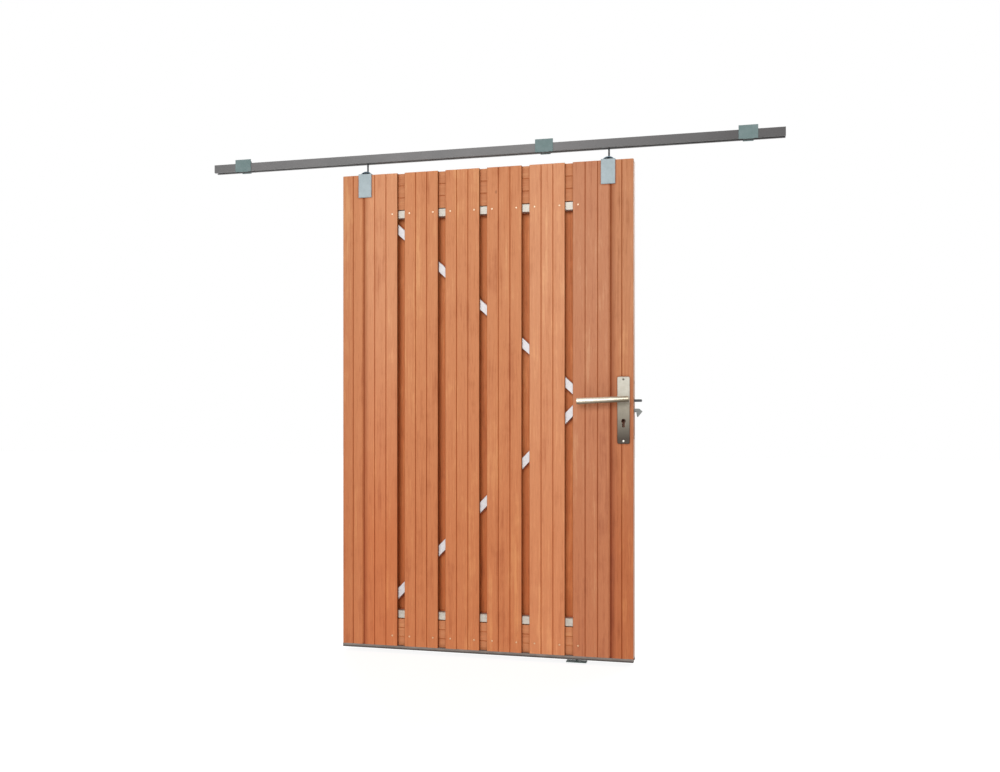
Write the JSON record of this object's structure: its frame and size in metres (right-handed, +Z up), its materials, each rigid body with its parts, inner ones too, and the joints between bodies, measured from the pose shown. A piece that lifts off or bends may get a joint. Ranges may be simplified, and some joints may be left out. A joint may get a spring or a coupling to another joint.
{
  "type": "sliding garden gate",
  "caption": "Top-hung sliding garden gate: hardwood boards on a braced steel frame, overhead rail with brackets, hook lock with levers, and a floor guide.",
  "frame": {"origin": "centre of the flat top face of the middle rail bracket, over the rail's centre line", "axes": "+X to the right along the rail as seen from the front (the handle points left), +Y to the rear, +Z up"},
  "size_m": [2.365, 0.189, 2.069],
  "materials": {
    "rail_steel": "satin",
    "zinc_steel": "satin",
    "bolt_steel": "satin",
    "black_rubber": "matte",
    "dark_steel": "satin",
    "galvanised_steel": "satin",
    "hardwood": "satin",
    "stainless_steel": "satin",
    "black_steel": "satin",
    "hook_steel": "satin"
  },
  "bodies": {
    "track": {"bracket_left": "zinc_steel", "bracket_middle": "zinc_steel", "bracket_right": "zinc_steel", "floor_guide_base": "dark_steel", "floor_guide_roller": "black_rubber", "rail": "rail_steel", "rail_stop_left": "black_rubber", "rail_stop_right": "black_rubber"},
    "leaf": {"back_board_1": "hardwood", "back_board_2": "hardwood", "back_board_3": "hardwood", "back_board_4": "hardwood", "back_board_5": "hardwood", "back_board_6": "hardwood", "back_board_7": "hardwood", "backplate_front": "stainless_steel", "backplate_rear": "stainless_steel", "bottom_channel": "dark_steel", "bottom_plank": "hardwood", "brace_lower": "galvanised_steel", "brace_tie": "galvanised_steel", "brace_upper": "galvanised_steel", "frame_bottom_tube": "galvanised_steel", "frame_left_stile": "galvanised_steel", "frame_right_stile_lower": "galvanised_steel", "frame_right_stile_upper": "galvanised_steel", "frame_top_tube": "galvanised_steel", "front_board_1": "hardwood", "front_board_2": "hardwood", "front_board_3": "hardwood", "front_board_4": "hardwood", "front_board_5": "hardwood", "front_board_6": "hardwood", "front_stile_left": "hardwood", "front_stile_right": "hardwood", "hanger_arch_left": "bolt_steel", "hanger_arch_right": "bolt_steel", "hanger_bolt_left": "bolt_steel", "hanger_bolt_right": "bolt_steel", "hanger_plate_left": "zinc_steel", "hanger_plate_right": "zinc_steel", "lock_case": "galvanised_steel", "lock_forend": "stainless_steel", "top_plank": "hardwood", "trolley_left": "zinc_steel", "trolley_right": "zinc_steel"},
    "handle": {"lever_front": "stainless_steel", "lever_rear": "stainless_steel", "spindle": "black_steel"},
    "latch": {"latch_bolt": "black_steel"},
    "hook": {"hook_bolt": "hook_steel"}
  },
  "joints": [
    {"name": "leaf_slide", "type": "slide", "parent": "track", "child": "leaf", "axis": [1, 0, 0], "range_m": [-0.632, 0.599]},
    {"name": "handle_turn", "type": "hinge", "parent": "leaf", "child": "handle", "pos_m": [0.316, 0, -1.034], "axis": [0, -1, 0], "range_deg": [0, 45], "stiffness_Nm_per_rad": 2, "springref_deg": -68.75},
    {"name": "latch_slide", "type": "slide", "parent": "leaf", "child": "latch", "axis": [-1, 0, 0], "range_m": [0, 0.029]},
    {"name": "hook_turn", "type": "hinge", "parent": "leaf", "child": "hook", "pos_m": [0.34, 0, -1.0768], "axis": [0, -1, 0], "range_deg": [0, 28]}
  ],
  "couplings": [
    {"joint": "latch_slide", "follows": "handle_turn", "m_per_rad": 0.0369}
  ]
}
